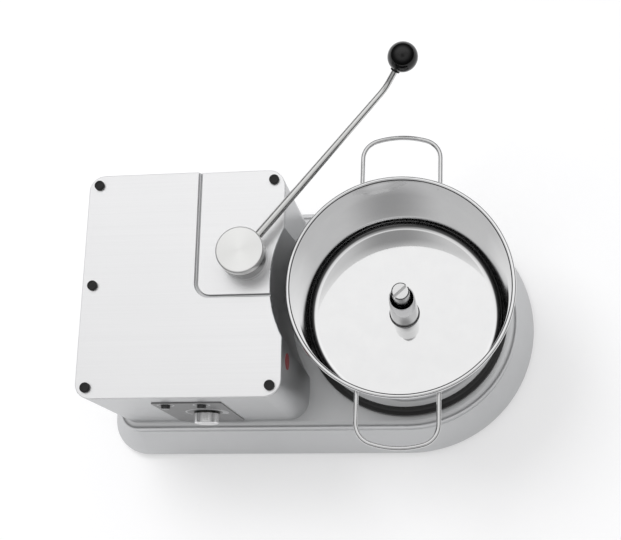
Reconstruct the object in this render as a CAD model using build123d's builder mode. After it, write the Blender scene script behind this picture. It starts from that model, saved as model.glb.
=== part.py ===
from build123d import *
import os
from math import asin, atan2, cos, degrees, radians, sin, sqrt, tan

os.makedirs("parts", exist_ok=True)

# A table-top bowl cutter.  Lengths are millimetres, +Z is up, and the bench is Z = 0.  The
# machine stands along X with its box at the left and the bowl at the right.  The origin is the
# middle of the whole machine's outline on the bench.  Places are given from the bowl's axis.

# ---------------------------------------------------------------- clearances
running_gap = 0.04            # radial, a shaft in its bearing
seat_gap = 0.05               # radial, a round piece in its seat
free_gap = 0.3                # between pieces that pass one another
screw_gap = 0.3               # radial, a screw in a plain hole

# ---------------------------------------------------------------- base
base_r = 184.0                # half width, and radius of the round end
base_left = 438.0             # bowl axis to the left end
base_corner_r = 52.0
base_wall = 5.0
deck_wall = 6.0
base_bottom_z = 8.0
skirt_z = 16.0                # where the skirt starts to slope inwards
plinth_inset = 26.0
plinth_foot_z = 60.0
deck_z = 86.0
plinth_edge_r = 10.0
foot_height = 12.0
foot_r = 19.0
foot_inset_x = 76.0
foot_inset_y = 76.0
pan_sheet = 2.0
pan_inset = 8.0
pan_screw_spans = (300.0, 90.0)

# ---------------------------------------------------------------- bowl
bowl_rim_r = 140.0            # inside radius at the mouth
bowl_rim_z = 257.0
bowl_depth = 155.0
bowl_taper = 4.5              # the wall is this much smaller in radius at the floor
bowl_sheet = 2.0
bowl_cove_r = 8.0
rim_bead_r = 3.0
tube_mouth_r = 17.2
tube_base_r = 20.0
tube_sheet = 1.6
tube_height = 84.0            # above the bowl's floor
handle_wire_r = 3.0
handle_reach = 205.0          # bowl axis to the wire's outer run
handle_gap = 102.0            # between the two legs
handle_corner_r = 26.0
handle_crown_r = 110.0        # the outer run is bowed
handle_turn = -1.8            # how far the bowl stands turned, in degrees
handle_drop = 13.0            # below the rim's top
seat_ring_r = 143.0
seat_ring_lip = 9.0
seat_ring_width = 23.0
peg_r = 4.0
peg_circle_r = 95.0
socket_wall = 3.0

# ---------------------------------------------------------------- drive
motor_offset = 300.0          # bowl axis to motor axis
motor_wall = 5.0
motor_height = 130.0
motor_flange_r = 72.0
flange_t = 8.0                # motor's flange, and the bearing housing's
flange_bolt_length = 12.5
motor_bolt_circle_r = 66.0
stator_length = 92.0
rotor_r = 35.4
air_gap = 0.6
motor_shaft_r = 9.0
motor_bearing_r = 20.0
motor_bearing_h = 12.0
fan_r = 48.0
fan_height = 9.0
fan_blades = 7
motor_pulley_r = 30.0
driven_pulley_r = 45.0
pulley_flange = 4.0
belt_width = 12.0
belt_t = 4.0
belt_z = 24.0
shaft_bearing_r = 26.0
shaft_bearing_h = 15.0
shaft_journal_r = 12.5
shaft_pulley_r = 10.0
shaft_neck_r = 10.5
drive_end_r = 11.75
drive_end_length = 33.0
drive_slot_width = 4.2
drive_slot_depth = 8.0
drive_slot_angle = 42.0
housing_barrel_r = 36.0
housing_flange_r = 50.0
housing_lip = 4.0
housing_bolt_circle_r = 43.0
seal_r = 20.0
seal_h = 8.0
shaft_boss_r = 30.0
shaft_boss_h = 11.0
key_width = 5.0
key_height = 5.0

# ---------------------------------------------------------------- box and covers
body_ledge = 9.0              # plinth edge to the box's front and back walls
body_end_ledge = 6.0          # plinth edge to the box's left wall
body_shift = 2.5              # the box stands this much further back than the bowl
hollow_bite = 17.0            # how far the hollow cuts in past the box's right wall
body_wall = 5.0
body_rim = 10.0               # width of the seat under the covers
body_rim_h = 8.0
body_left_corner_r = 20.0
body_right_corner_r = 22.0
body_flare = 8.0              # the right wall leans out this much at the deck
bowl_hollow_r = 161.0         # the box's wall is hollowed round the bowl
body_boss_r = 11.0
cover_top_z = 284.0
cover_t = 3.0
gasket_t = 1.0
cover_step = 3.0              # the lever's cover is this much lower
cover_gap = 3.6
cover_split_ledge = 64.5      # lever's axis to the joint between the covers
cover_split_y = -19.0
cover_split_r = 20.0
bridge_half = 8.0
screw_inset = 14.0
cap_r = 6.5
cap_h = 4.4

# ---------------------------------------------------------------- lever
column_ledge = 35.047         # bowl's hollow to the lever's axis
column_y = 31.5
lever_angle = 50.2            # resting direction, from +X
collar_r = 29.5
collar_h = 10.5
washer_t = 1.0
hub_r = 30.0
hub_h = 18.0
hub_groove = 1.2              # width and depth of each groove
hub_grooves = 3
hub_cap_r = 30.4
hub_cap_h = 10.0
spindle_r = 10.0
bush_wall = 3.0
bush_drop = 34.0              # bush length below the lever's cover
rod_root_r = 5.75
rod_tip_r = 4.2
rod_reach = 274.5             # column axis to the start of the bend
rod_bend = 36.0
rod_bend_r = 30.0
rod_tail = 37.0               # straight run from the bend to the ball's centre
ball_r = 19.5
cam_r = 22.0
cam_h = 8.0

# ---------------------------------------------------------------- controls
panel_left = 317.0            # bowl axis to the panel's left edge
panel_width = 91.0
panel_top_z = 250.0
panel_bottom_z = 96.0
panel_t = 1.5
panel_corner_r = 3.0
knob_inset = 56.5             # panel's left edge to the knob's axis
knob_z = 177.0
knob_r = 16.0
knob_length = 15.0
knob_shaft_r = 3.0
pot_r = 12.0
pot_length = 10.0
button_insets = (16.0, 63.0)  # panel's left edge to each button's axis
button_z = 236.0
button_r = 6.0
button_rise = 5.0
button_travel = 2.5
button_stem_r = 3.0
block_size = 19.0
board_setback = 26.0          # front wall's inside face to the board
board_t = 1.6
board_margin = 4.0
marker_r = 10.5
marker_t = 0.8
marker_ledge = 13.5           # front end of the hollow to the disc
marker_z = 248.0
gland_gap = 4.3                # corner post to the gland's nut
gland_z = 122.0
gland_hex = 22.0              # across the flats
gland_thread_r = 8.0
gland_length = 16.0
gland_bore_r = 4.5

# ---------------------------------------------------------------- derived places
bend_rise = rod_bend_r * (1 - cos(radians(rod_bend))) + rod_tail * sin(radians(rod_bend))
ball_reach = rod_reach + rod_bend_r * sin(radians(rod_bend)) + rod_tail * cos(radians(rod_bend))
ball_back = column_y + ball_reach * sin(radians(lever_angle)) + ball_r
handle_front = (
    (handle_reach - handle_crown_r) * cos(radians(handle_turn)) + handle_crown_r + handle_wire_r
)
bowl_x = (base_left - base_r) / 2
bowl_y = (handle_front - ball_back) / 2
column_x = -sqrt((bowl_hollow_r + column_ledge) ** 2 - column_y**2)
cover_split_x = cover_split_ledge - column_x
body_right = bowl_hollow_r - hollow_bite
marker_y = -(sqrt(bowl_hollow_r**2 - body_right**2) + marker_ledge + marker_r)
bowl_axis = (bowl_x, bowl_y)
motor_axis = (bowl_x - motor_offset, bowl_y)
column_axis = (bowl_x + column_x, bowl_y + column_y)

bowl_floor_z = bowl_rim_z - bowl_depth
bowl_under_z = bowl_floor_z - bowl_sheet
tube_top_z = bowl_floor_z + tube_height
handle_z = bowl_rim_z - handle_drop
deck_under_z = deck_z - deck_wall
pan_top_z = foot_height + pan_sheet
body_top_z = cover_top_z - cover_t - gasket_t
lever_cover_top_z = cover_top_z - cover_step
lever_cover_under_z = lever_cover_top_z - cover_t
body_half = base_r - plinth_inset - body_ledge
body_left = base_left - plinth_inset - body_end_ledge
body_y = bowl_y + body_shift
front_y = body_y - body_half
front_inside_y = front_y + body_wall
back_y = body_y + body_half


def side_plane(centre):
    """Upright plane through a vertical axis: local x is the radius, local y the height."""
    return Plane(origin=(centre[0], centre[1], 0), x_dir=(1, 0, 0), z_dir=(0, -1, 0))


def upright(centre):
    """The vertical axis through a place in plan."""
    return Axis((centre[0], centre[1], 0), (0, 0, 1))


def front_plane(depth):
    """Plane facing the front at a given Y: local x is X and local y is Z."""
    return Plane(origin=(0, depth, 0), x_dir=(1, 0, 0), z_dir=(0, -1, 0))


def profile(points, centre):
    """Closed (radius, height) outline beside a vertical axis, ready to revolve."""
    with BuildSketch(side_plane(centre)) as section:
        with BuildLine():
            Polyline(*points, close=True)
        make_face()
    return section.sketch


def ring(r_in, r_out, z_low, z_high, centre):
    """Section of a plain ring about a vertical axis."""
    return profile([(r_in, z_low), (r_out, z_low), (r_out, z_high), (r_in, z_high)], centre)


def discs(places, radius, height):
    """Circles at several places, in one sketch at the given height."""
    with BuildSketch(Plane.XY.offset(height)) as spots:
        with Locations(*places):
            Circle(radius)
    return spots.sketch


def base_outline(inset, height):
    """The base's outline in plan: round about the bowl, with rounded left corners."""
    length = base_left - inset
    with BuildSketch(Plane.XY.offset(height)) as outline:
        with Locations((bowl_x - length / 2, bowl_y)):
            Rectangle(length, 2 * (base_r - inset))
        fillet(outline.vertices().group_by(Axis.X)[0], base_corner_r - inset)
        with Locations(bowl_axis):
            Circle(base_r - inset)
    return outline.sketch


def body_plan(inset, height, flare=0.0):
    """The box's outline in plan before it is hollowed, with its right wall moved out by flare."""
    right = body_right - flare
    with BuildSketch(Plane.XY.offset(height)) as outline:
        with Locations((bowl_x - (body_left + right) / 2, body_y)):
            Rectangle(body_left - right - 2 * inset, 2 * (body_half - inset))
        fillet(outline.vertices().group_by(Axis.X)[0], max(body_left_corner_r - inset, 2))
        fillet(outline.vertices().group_by(Axis.X)[-1], max(body_right_corner_r + flare - inset, 2))
    return outline.sketch


def body_outline(inset, height):
    """The box's outline in plan, hollowed on its right round the bowl."""
    with BuildSketch(Plane.XY.offset(height)) as outline:
        add(body_plan(inset, height))
        with Locations(bowl_axis):
            Circle(bowl_hollow_r + inset, mode=Mode.SUBTRACT)
    return outline.sketch


def lever_zone(inset, height):
    """The part of the box's top under the lever's cover, with its one rounded corner."""
    left = bowl_x - cover_split_x + inset
    front = bowl_y + cover_split_y + inset
    width = bowl_x - left
    depth = bowl_y + 2 * body_half - front
    with BuildSketch(Plane.XY.offset(height)) as zone:
        with Locations((left + width / 2, front + depth / 2)):
            Rectangle(width, depth)
        corner = zone.vertices().group_by(Axis.Y)[0].sort_by(Axis.X)[0]
        fillet(corner, cover_split_r - inset)
    return zone.sketch


def belt_outline(extra, height):
    """The belt's loop round both pulleys, standing off them by the given amount."""
    with BuildSketch(Plane.XY.offset(height)) as loop:
        with Locations(motor_axis):
            Circle(motor_pulley_r + extra)
        with Locations(bowl_axis):
            Circle(driven_pulley_r + extra)
        make_hull()
    return loop.sketch


def screws(places, seat_z, thread_r, length, head_r, head_h, up):
    """Screws with a hex socket: heads rest at seat_z, above it if up is 1, below it if -1."""
    with BuildPart() as group:
        extrude(discs(places, head_r, seat_z), amount=up * head_h)
        extrude(discs(places, thread_r, seat_z), amount=-up * length)
        with BuildSketch(Plane.XY.offset(seat_z + up * head_h)):
            with Locations(*places):
                RegularPolygon(head_r * 0.5, 6)
        extrude(amount=-up * head_h * 0.6, mode=Mode.SUBTRACT)
    return group.part


def write(part, label):
    """Name a finished piece and write its file."""
    part.label = label
    export_step(part, f"parts/{label}.step")


# ================================================================ base
boss_r = 10.0
skirt_slope = atan2(plinth_foot_z - skirt_z, plinth_inset)
skirt_wall = base_wall / sin(skirt_slope)
foot_places = [
    (bowl_x - base_left + foot_inset_x, bowl_y + base_r - foot_inset_y),
    (bowl_x - base_left + foot_inset_x, bowl_y - base_r + foot_inset_y),
    (bowl_x + base_r / 2 - foot_r, bowl_y + base_r - foot_inset_y),
    (bowl_x + base_r / 2 - foot_r, bowl_y - base_r + foot_inset_y),
]
pan_screw_inset = plinth_inset + base_wall + boss_r - 2
pan_screw_reach = base_r - pan_screw_inset
pan_screw_places = [(bowl_x + pan_screw_reach, bowl_y)]
pan_screw_places += [(bowl_x - base_left + pan_screw_inset, bowl_y)]
for span in pan_screw_spans:
    for side in (-1, 1):
        pan_screw_places.append((bowl_x - span, bowl_y + side * pan_screw_reach))
corner_x = (bowl_x - body_left + screw_inset, bowl_x - body_right - screw_inset)
corner_y = (front_y + screw_inset, back_y - screw_inset)
body_bolt_places = [(x, y) for x in corner_x for y in corner_y]
motor_bolt_places = [
    (motor_axis[0] + motor_bolt_circle_r * cos(radians(a)),
     motor_axis[1] + motor_bolt_circle_r * sin(radians(a)))
    for a in (45, 135, 225, 315)
]
housing_bolt_places = [
    (bowl_x + housing_bolt_circle_r * cos(radians(a)),
     bowl_y + housing_bolt_circle_r * sin(radians(a)))
    for a in (45, 135, 225, 315)
]
peg_places = [(bowl_x + peg_circle_r, bowl_y), (bowl_x - peg_circle_r, bowl_y)]
m6_r = 3.0
m6_head_r = 5.2
m6_head_h = 3.6
m4_r = 2.0
m4_head_r = 3.7
m4_head_h = 2.4
body_bolt_length = 24.0
pan_screw_length = 14.0
foot_screw_length = 22.0
foot_recess_h = 6.0
motor_hole_r = motor_pulley_r - 4.0

with BuildPart() as base_casting:
    extrude(base_outline(0, base_bottom_z), amount=skirt_z - base_bottom_z)
    skirt = [base_outline(0, skirt_z).face(), base_outline(plinth_inset, plinth_foot_z).face()]
    loft(skirt, ruled=True)
    extrude(base_outline(plinth_inset, plinth_foot_z), amount=deck_z - plinth_foot_z)
    fillet(base_casting.faces().sort_by(Axis.Z)[-1].edges(), plinth_edge_r)
    extrude(
        base_outline(skirt_wall, base_bottom_z),
        amount=skirt_z - base_bottom_z,
        mode=Mode.SUBTRACT,
    )
    hollow = [
        base_outline(skirt_wall, skirt_z).face(),
        base_outline(plinth_inset + skirt_wall, plinth_foot_z).face(),
    ]
    loft(hollow, ruled=True, mode=Mode.SUBTRACT)
    extrude(
        base_outline(plinth_inset + skirt_wall, skirt_z),
        amount=deck_under_z - skirt_z,
        mode=Mode.SUBTRACT,
    )
    # bosses for the feet and the bottom pan
    boss_places = foot_places + pan_screw_places
    extrude(discs(boss_places, boss_r, pan_top_z), amount=deck_under_z - pan_top_z)
    extrude(
        discs(foot_places, m6_r + seat_gap, pan_top_z),
        amount=foot_screw_length,
        mode=Mode.SUBTRACT,
    )
    extrude(
        discs(pan_screw_places, m4_r + seat_gap, pan_top_z),
        amount=pan_screw_length,
        mode=Mode.SUBTRACT,
    )
    # boss round the drive shaft, with the seal's bore
    extrude(discs([bowl_axis], shaft_boss_r, deck_under_z), amount=deck_wall + shaft_boss_h)
    extrude(
        discs([bowl_axis], shaft_journal_r + 4, deck_under_z),
        amount=deck_wall + shaft_boss_h,
        mode=Mode.SUBTRACT,
    )
    extrude(
        discs([bowl_axis], seal_r + seat_gap, deck_z + shaft_boss_h - seal_h - 1),
        amount=seal_h + 1,
        mode=Mode.SUBTRACT,
    )
    # motor shaft, motor bolts, housing bolts, box bolts and bowl pegs
    extrude(discs([motor_axis], motor_hole_r, deck_under_z), amount=deck_wall, mode=Mode.SUBTRACT)
    extrude(
        discs(motor_bolt_places, m6_r + seat_gap, deck_z),
        amount=flange_t - flange_bolt_length - 0.5,
        mode=Mode.SUBTRACT,
    )
    extrude(
        discs(housing_bolt_places, m6_r + seat_gap, deck_under_z),
        amount=flange_bolt_length - flange_t + 0.5,
        mode=Mode.SUBTRACT,
    )
    extrude(
        discs(body_bolt_places, m6_r + screw_gap, deck_under_z),
        amount=deck_wall,
        mode=Mode.SUBTRACT,
    )
    extrude(discs(peg_places, peg_r + seat_gap, deck_under_z), amount=deck_wall, mode=Mode.SUBTRACT)
write(base_casting.part, "base_casting")

with BuildPart() as bottom_pan:
    extrude(base_outline(pan_inset, foot_height), amount=pan_sheet)
    extrude(
        discs(foot_places, m6_r + screw_gap, foot_height),
        amount=pan_sheet,
        mode=Mode.SUBTRACT,
    )
    extrude(
        discs(pan_screw_places, m4_r + screw_gap, foot_height),
        amount=pan_sheet,
        mode=Mode.SUBTRACT,
    )
write(bottom_pan.part, "bottom_pan")

pan_screws = screws(
    pan_screw_places, foot_height, m4_r, pan_screw_length + pan_sheet - 1, m4_head_r, m4_head_h, -1
)
write(pan_screws, "pan_screws")

with BuildPart() as rubber_feet:
    with BuildSketch(Plane.XY):
        with Locations(*foot_places):
            Circle(foot_r)
    extrude(amount=foot_height, taper=6)
    extrude(discs(foot_places, m6_head_r + 1.5, 0), amount=foot_recess_h, mode=Mode.SUBTRACT)
    extrude(discs(foot_places, m6_r + screw_gap, 0), amount=foot_height, mode=Mode.SUBTRACT)
write(rubber_feet.part, "rubber_feet")

foot_screws = screws(
    foot_places,
    foot_recess_h,
    m6_r,
    pan_top_z - foot_recess_h + foot_screw_length - 1,
    m6_head_r,
    m6_head_h,
    -1,
)
write(foot_screws, "foot_screws")

# ================================================================ box
mid_screw_place = (corner_x[0], bowl_y)
lever_screw_place = (corner_x[1], corner_y[1])
main_screw_places = [(corner_x[0], corner_y[0]), (corner_x[0], corner_y[1])]
main_screw_places += [(corner_x[1], corner_y[0]), mid_screw_place]
cover_screw_places = main_screw_places + [lever_screw_place]
m5_r = 2.5
m5_head_r = 4.6
m5_head_h = 2.8
cover_screw_length = 16.0
button_x = [bowl_x - panel_left + inset for inset in button_insets]
knob_x = bowl_x - panel_left + knob_inset
front_places = [(x, button_z) for x in button_x]
gland_inset = screw_inset + body_boss_r + gland_hex / 2 / cos(radians(30)) + gland_gap
gland_place = (bowl_x - body_left + gland_inset, gland_z)
pot_bush_r = 4.5
button_hole_r = button_r + free_gap + 1

with BuildPart() as body_casting:
    loft([body_plan(0, deck_z, body_flare).face(), body_plan(0, body_top_z).face()], ruled=True)
    extrude(
        discs([bowl_axis], bowl_hollow_r, deck_z),
        amount=body_top_z - deck_z,
        mode=Mode.SUBTRACT,
    )
    extrude(body_outline(body_wall, deck_z), amount=body_top_z - deck_z, mode=Mode.SUBTRACT)
    # seat for the covers, and the bridge under their joint
    with BuildSketch(Plane.XY.offset(body_top_z - body_rim_h)):
        add(body_outline(body_wall / 2, body_top_z - body_rim_h))
        add(body_outline(body_rim, body_top_z - body_rim_h), mode=Mode.SUBTRACT)
    extrude(amount=body_rim_h)
    bridge_z = body_top_z - 2 * body_rim_h
    with BuildSketch(Plane.XY.offset(bridge_z)):
        add(body_outline(body_wall / 2, bridge_z))
        add(lever_zone(-bridge_half, bridge_z), mode=Mode.INTERSECT)
        add(lever_zone(bridge_half, bridge_z), mode=Mode.SUBTRACT)
    extrude(amount=2 * body_rim_h)
    # screw bosses
    extrude(discs(body_bolt_places, body_boss_r, deck_z), amount=body_top_z - deck_z)
    extrude(
        discs([mid_screw_place], body_boss_r, body_top_z - 5 * body_rim_h),
        amount=5 * body_rim_h,
    )
    # the lower seat under the lever's cover
    extrude(
        lever_zone(cover_gap / 2, body_top_z - cover_step),
        amount=cover_step + 1,
        mode=Mode.SUBTRACT,
    )
    extrude(
        discs(body_bolt_places, m6_r + seat_gap, deck_z),
        amount=body_bolt_length,
        mode=Mode.SUBTRACT,
    )
    extrude(
        discs(cover_screw_places, m5_r + seat_gap, body_top_z),
        amount=-cover_screw_length,
        mode=Mode.SUBTRACT,
    )
    # openings for the controls and the cable
    with BuildSketch(front_plane(front_y)):
        with Locations(*front_places):
            Circle(button_hole_r)
        with Locations((knob_x, knob_z)):
            Circle(pot_bush_r + seat_gap)
    extrude(amount=-body_wall, mode=Mode.SUBTRACT)
    with BuildSketch(front_plane(back_y)):
        with Locations(gland_place):
            Circle(gland_thread_r + seat_gap)
    extrude(amount=body_wall, mode=Mode.SUBTRACT)
write(body_casting.part, "body_casting")

body_bolts = screws(
    body_bolt_places, deck_under_z, m6_r, deck_wall + body_bolt_length - 1, m6_head_r, m6_head_h, -1
)
write(body_bolts, "body_bolts")

main_cover_z = cover_top_z - cover_t
cover_edge_r = 1.0
with BuildPart() as main_cover:
    with BuildSketch(Plane.XY.offset(main_cover_z)):
        add(body_outline(0, main_cover_z))
        add(lever_zone(0, main_cover_z), mode=Mode.SUBTRACT)
    extrude(amount=cover_t)
    fillet(main_cover.faces().sort_by(Axis.Z)[-1].edges(), cover_edge_r)
    extrude(
        discs(main_screw_places, m5_r + screw_gap, main_cover_z),
        amount=cover_t,
        mode=Mode.SUBTRACT,
    )
write(main_cover.part, "main_cover")

bearing_drop_r = spindle_r + bush_wall + 3.0
collar_bolt_circle_r = (bearing_drop_r + collar_r) / 2
collar_turn = degrees(atan2(-column_y, -column_x))
collar_bolt_places = [
    (column_axis[0] + collar_bolt_circle_r * cos(radians(a)),
     column_axis[1] + collar_bolt_circle_r * sin(radians(a)))
    for a in (collar_turn + 45, collar_turn + 135, collar_turn + 225, collar_turn + 315)
]
with BuildPart() as lever_cover:
    with BuildSketch(Plane.XY.offset(lever_cover_under_z)):
        add(body_outline(0, lever_cover_under_z))
        add(lever_zone(cover_gap, lever_cover_under_z), mode=Mode.INTERSECT)
    extrude(amount=cover_t)
    fillet(lever_cover.faces().sort_by(Axis.Z)[-1].edges(), cover_edge_r)
    extrude(
        discs([lever_screw_place], m5_r + screw_gap, lever_cover_under_z),
        amount=cover_t,
        mode=Mode.SUBTRACT,
    )
    extrude(
        discs([column_axis], bearing_drop_r + seat_gap, lever_cover_under_z),
        amount=cover_t,
        mode=Mode.SUBTRACT,
    )
    extrude(
        discs(collar_bolt_places, m4_r + screw_gap, lever_cover_under_z),
        amount=cover_t,
        mode=Mode.SUBTRACT,
    )
write(lever_cover.part, "lever_cover")

with BuildPart() as cover_gasket:
    with BuildSketch(Plane.XY.offset(body_top_z)):
        add(body_outline(1, body_top_z))
        add(lever_zone(0, body_top_z), mode=Mode.SUBTRACT)
    extrude(amount=gasket_t)
    with BuildSketch(Plane.XY.offset(body_top_z)):
        add(body_outline(body_rim - 1, body_top_z))
        add(lever_zone(1 - bridge_half, body_top_z), mode=Mode.SUBTRACT)
        with Locations(*main_screw_places):
            Circle(body_boss_r - 1, mode=Mode.SUBTRACT)
    extrude(amount=gasket_t, mode=Mode.SUBTRACT)
    with BuildSketch(Plane.XY.offset(body_top_z - cover_step)):
        add(body_outline(1, body_top_z - cover_step))
        add(lever_zone(cover_gap, body_top_z - cover_step), mode=Mode.INTERSECT)
    extrude(amount=gasket_t)
    with BuildSketch(Plane.XY.offset(body_top_z - cover_step)):
        add(body_outline(body_rim - 1, body_top_z - cover_step))
        add(lever_zone(bridge_half - 1, body_top_z - cover_step), mode=Mode.INTERSECT)
        with Locations(lever_screw_place):
            Circle(body_boss_r - 1, mode=Mode.SUBTRACT)
    extrude(amount=gasket_t, mode=Mode.SUBTRACT)
    extrude(
        discs(cover_screw_places, m5_r + screw_gap, body_top_z + gasket_t),
        amount=-cover_step - gasket_t,
        mode=Mode.SUBTRACT,
    )
write(cover_gasket.part, "cover_gasket")

with BuildPart() as cover_screws:
    add(screws(main_screw_places, cover_top_z, m5_r, cover_screw_length, m5_head_r, m5_head_h, 1))
    add(
        screws(
            [lever_screw_place],
            lever_cover_top_z,
            m5_r,
            cover_screw_length,
            m5_head_r,
            m5_head_h,
            1,
        )
    )
write(cover_screws.part, "cover_screws")

with BuildPart() as screw_caps:
    for places, seat_z in ((main_screw_places, cover_top_z), ([lever_screw_place], lever_cover_top_z)):
        extrude(discs(places, cap_r, seat_z), amount=cap_h)
    fillet(screw_caps.edges().filter_by(GeomType.CIRCLE).group_by(Axis.Z)[-1], 1.2)
    fillet(
        screw_caps.edges().filter_by(GeomType.CIRCLE).filter_by_position(
            Axis.Z, lever_cover_top_z + cap_h - 0.1, lever_cover_top_z + cap_h + 0.1
        ),
        1.2,
    )
    for places, seat_z in ((main_screw_places, cover_top_z), ([lever_screw_place], lever_cover_top_z)):
        extrude(
            discs(places, m5_head_r + seat_gap, seat_z),
            amount=m5_head_h + 0.4,
            mode=Mode.SUBTRACT,
        )
        extrude(
            discs(places, cap_r - 2.4, seat_z + cap_h),
            amount=-0.6,
            mode=Mode.SUBTRACT,
        )
write(screw_caps.part, "screw_caps")

lean = atan2(body_flare, body_top_z - deck_z)
marker_place = (bowl_x - body_right + (body_top_z - marker_z) * tan(lean), bowl_y + marker_y, marker_z)
with BuildPart() as red_marker:
    with BuildSketch(Plane(origin=marker_place, x_dir=(0, 1, 0), z_dir=(cos(lean), 0, sin(lean)))):
        Circle(marker_r)
    extrude(amount=marker_t)
write(red_marker.part, "red_marker")

# ================================================================ controls
with BuildPart() as control_panel:
    with BuildSketch(front_plane(front_y)):
        panel_mid_z = (panel_top_z + panel_bottom_z) / 2
        with Locations((bowl_x - panel_left + panel_width / 2, panel_mid_z)):
            RectangleRounded(panel_width, panel_top_z - panel_bottom_z, panel_corner_r)
        with Locations(*front_places):
            Circle(button_r + free_gap, mode=Mode.SUBTRACT)
        with Locations((knob_x, knob_z)):
            Circle(pot_bush_r + seat_gap, mode=Mode.SUBTRACT)
    extrude(amount=panel_t)
write(control_panel.part, "control_panel")

panel_face_y = front_y - panel_t
board_y = front_inside_y + board_setback
button_stroke_end = 8.0       # how far a pressed stem reaches past the block's front face
button_head_end = front_inside_y - button_travel - 1
for label, x in zip(("start_button", "stop_button"), button_x):
    with BuildPart() as button:
        with BuildSketch(front_plane(button_head_end)):
            with Locations((x, button_z)):
                Circle(button_r)
        extrude(amount=button_head_end - panel_face_y + button_rise)
        fillet(button.edges().group_by(Axis.Y)[0], 1.5)
        with BuildSketch(front_plane(button_head_end)):
            with Locations((x, button_z)):
                Circle(button_stem_r)
        extrude(amount=-(button_travel + 1 + button_stroke_end))
    write(button.part, label)

with BuildPart() as switch_blocks:
    with BuildSketch(front_plane(front_inside_y)):
        with Locations(*front_places):
            Rectangle(block_size, block_size)
    extrude(amount=-board_setback)
    with BuildSketch(front_plane(front_inside_y)):
        with Locations(*front_places):
            Circle(button_stem_r + free_gap)
    extrude(amount=-(button_stroke_end + button_travel + 1), mode=Mode.SUBTRACT)
write(switch_blocks.part, "switch_blocks")

with BuildPart() as control_board:
    with BuildSketch(front_plane(board_y)):
        with Locations((bowl_x - panel_left + panel_width / 2, panel_mid_z)):
            Rectangle(panel_width - 2 * board_margin, panel_top_z - panel_bottom_z - 4 * board_margin)
    extrude(amount=-board_t)
write(control_board.part, "control_board")

pot_start_y = front_inside_y
with BuildPart() as potentiometer:
    with BuildSketch(front_plane(front_y - panel_t)):
        with Locations((knob_x, knob_z)):
            Circle(pot_bush_r)
    extrude(amount=-(panel_t + body_wall))
    with BuildSketch(front_plane(pot_start_y)):
        with Locations((knob_x, knob_z)):
            Circle(pot_r)
    extrude(amount=-board_setback)
    with BuildSketch(front_plane(front_y - panel_t)):
        with Locations((knob_x, knob_z)):
            Circle(knob_shaft_r + running_gap)
    extrude(amount=-(panel_t + body_wall + pot_length), mode=Mode.SUBTRACT)
write(potentiometer.part, "potentiometer")

knob_back_y = panel_face_y - free_gap
knob_socket_depth = knob_length - 4
with BuildPart() as knob_shaft:
    with BuildSketch(front_plane(knob_back_y - knob_socket_depth)):
        with Locations((knob_x, knob_z)):
            Circle(knob_shaft_r)
    extrude(amount=-(knob_socket_depth + free_gap + panel_t + body_wall + pot_length - free_gap))
write(knob_shaft.part, "knob_shaft")

with BuildPart() as speed_knob:
    with BuildSketch(front_plane(knob_back_y)):
        with Locations((knob_x, knob_z)):
            Circle(knob_r)
    extrude(amount=knob_length)
    fillet(speed_knob.edges().group_by(Axis.Y)[0], 1.5)
    with BuildSketch(front_plane(knob_back_y)):
        with Locations((knob_x, knob_z)):
            with PolarLocations(knob_r, 24):
                Circle(0.5)
    extrude(amount=knob_length - 3, mode=Mode.SUBTRACT)
    with BuildSketch(front_plane(knob_back_y)):
        with Locations((knob_x, knob_z)):
            Circle(knob_shaft_r + seat_gap)
    extrude(amount=knob_socket_depth + 0.3, mode=Mode.SUBTRACT)
write(speed_knob.part, "speed_knob")

gland_nut_t = 5.0
gland_flange_t = 7.0
with BuildPart() as cable_gland:
    with BuildSketch(front_plane(back_y)):
        with Locations(gland_place):
            RegularPolygon(gland_hex / 2, 6, major_radius=False)
    extrude(amount=-gland_flange_t)
    with BuildSketch(front_plane(back_y + gland_flange_t)):
        with Locations(gland_place):
            Circle(gland_hex / 2 - 1.5)
    extrude(amount=-gland_length + gland_flange_t)
    fillet(cable_gland.edges().group_by(Axis.Y)[-1], 2.0)
    with BuildSketch(front_plane(back_y)):
        with Locations(gland_place):
            Circle(gland_thread_r)
    extrude(amount=body_wall + gland_nut_t + 2)
    with BuildSketch(front_plane(back_y + gland_length)):
        with Locations(gland_place):
            Circle(gland_bore_r)
    extrude(amount=gland_length + body_wall + gland_nut_t + 2, mode=Mode.SUBTRACT)
write(cable_gland.part, "cable_gland")

with BuildPart() as gland_nut:
    with BuildSketch(front_plane(back_y - body_wall)):
        with Locations(gland_place):
            RegularPolygon(gland_hex / 2, 6, major_radius=False)
            Circle(gland_thread_r + seat_gap, mode=Mode.SUBTRACT)
    extrude(amount=gland_nut_t)
write(gland_nut.part, "gland_nut")

# the drive's power electronics, a finned box on the deck behind the motor
drive_box_length = 110.0
drive_box_depth = 34.0
drive_box_height = 120.0
fin_count = 9
fin_depth = 14.0
drive_box_x = motor_axis[0] + 12
drive_box_y = back_y - body_wall - 6 - fin_depth - drive_box_depth / 2
with BuildPart() as speed_drive:
    with BuildSketch(Plane.XY.offset(deck_z)):
        with Locations((drive_box_x, drive_box_y)):
            Rectangle(drive_box_length, drive_box_depth)
        fin_pitch = drive_box_length / fin_count
        with Locations((drive_box_x, drive_box_y + drive_box_depth / 2 + fin_depth / 2)):
            with GridLocations(fin_pitch, 1, fin_count, 1):
                Rectangle(2.5, fin_depth)
    extrude(amount=drive_box_height)
write(speed_drive.part, "speed_drive")

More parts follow.
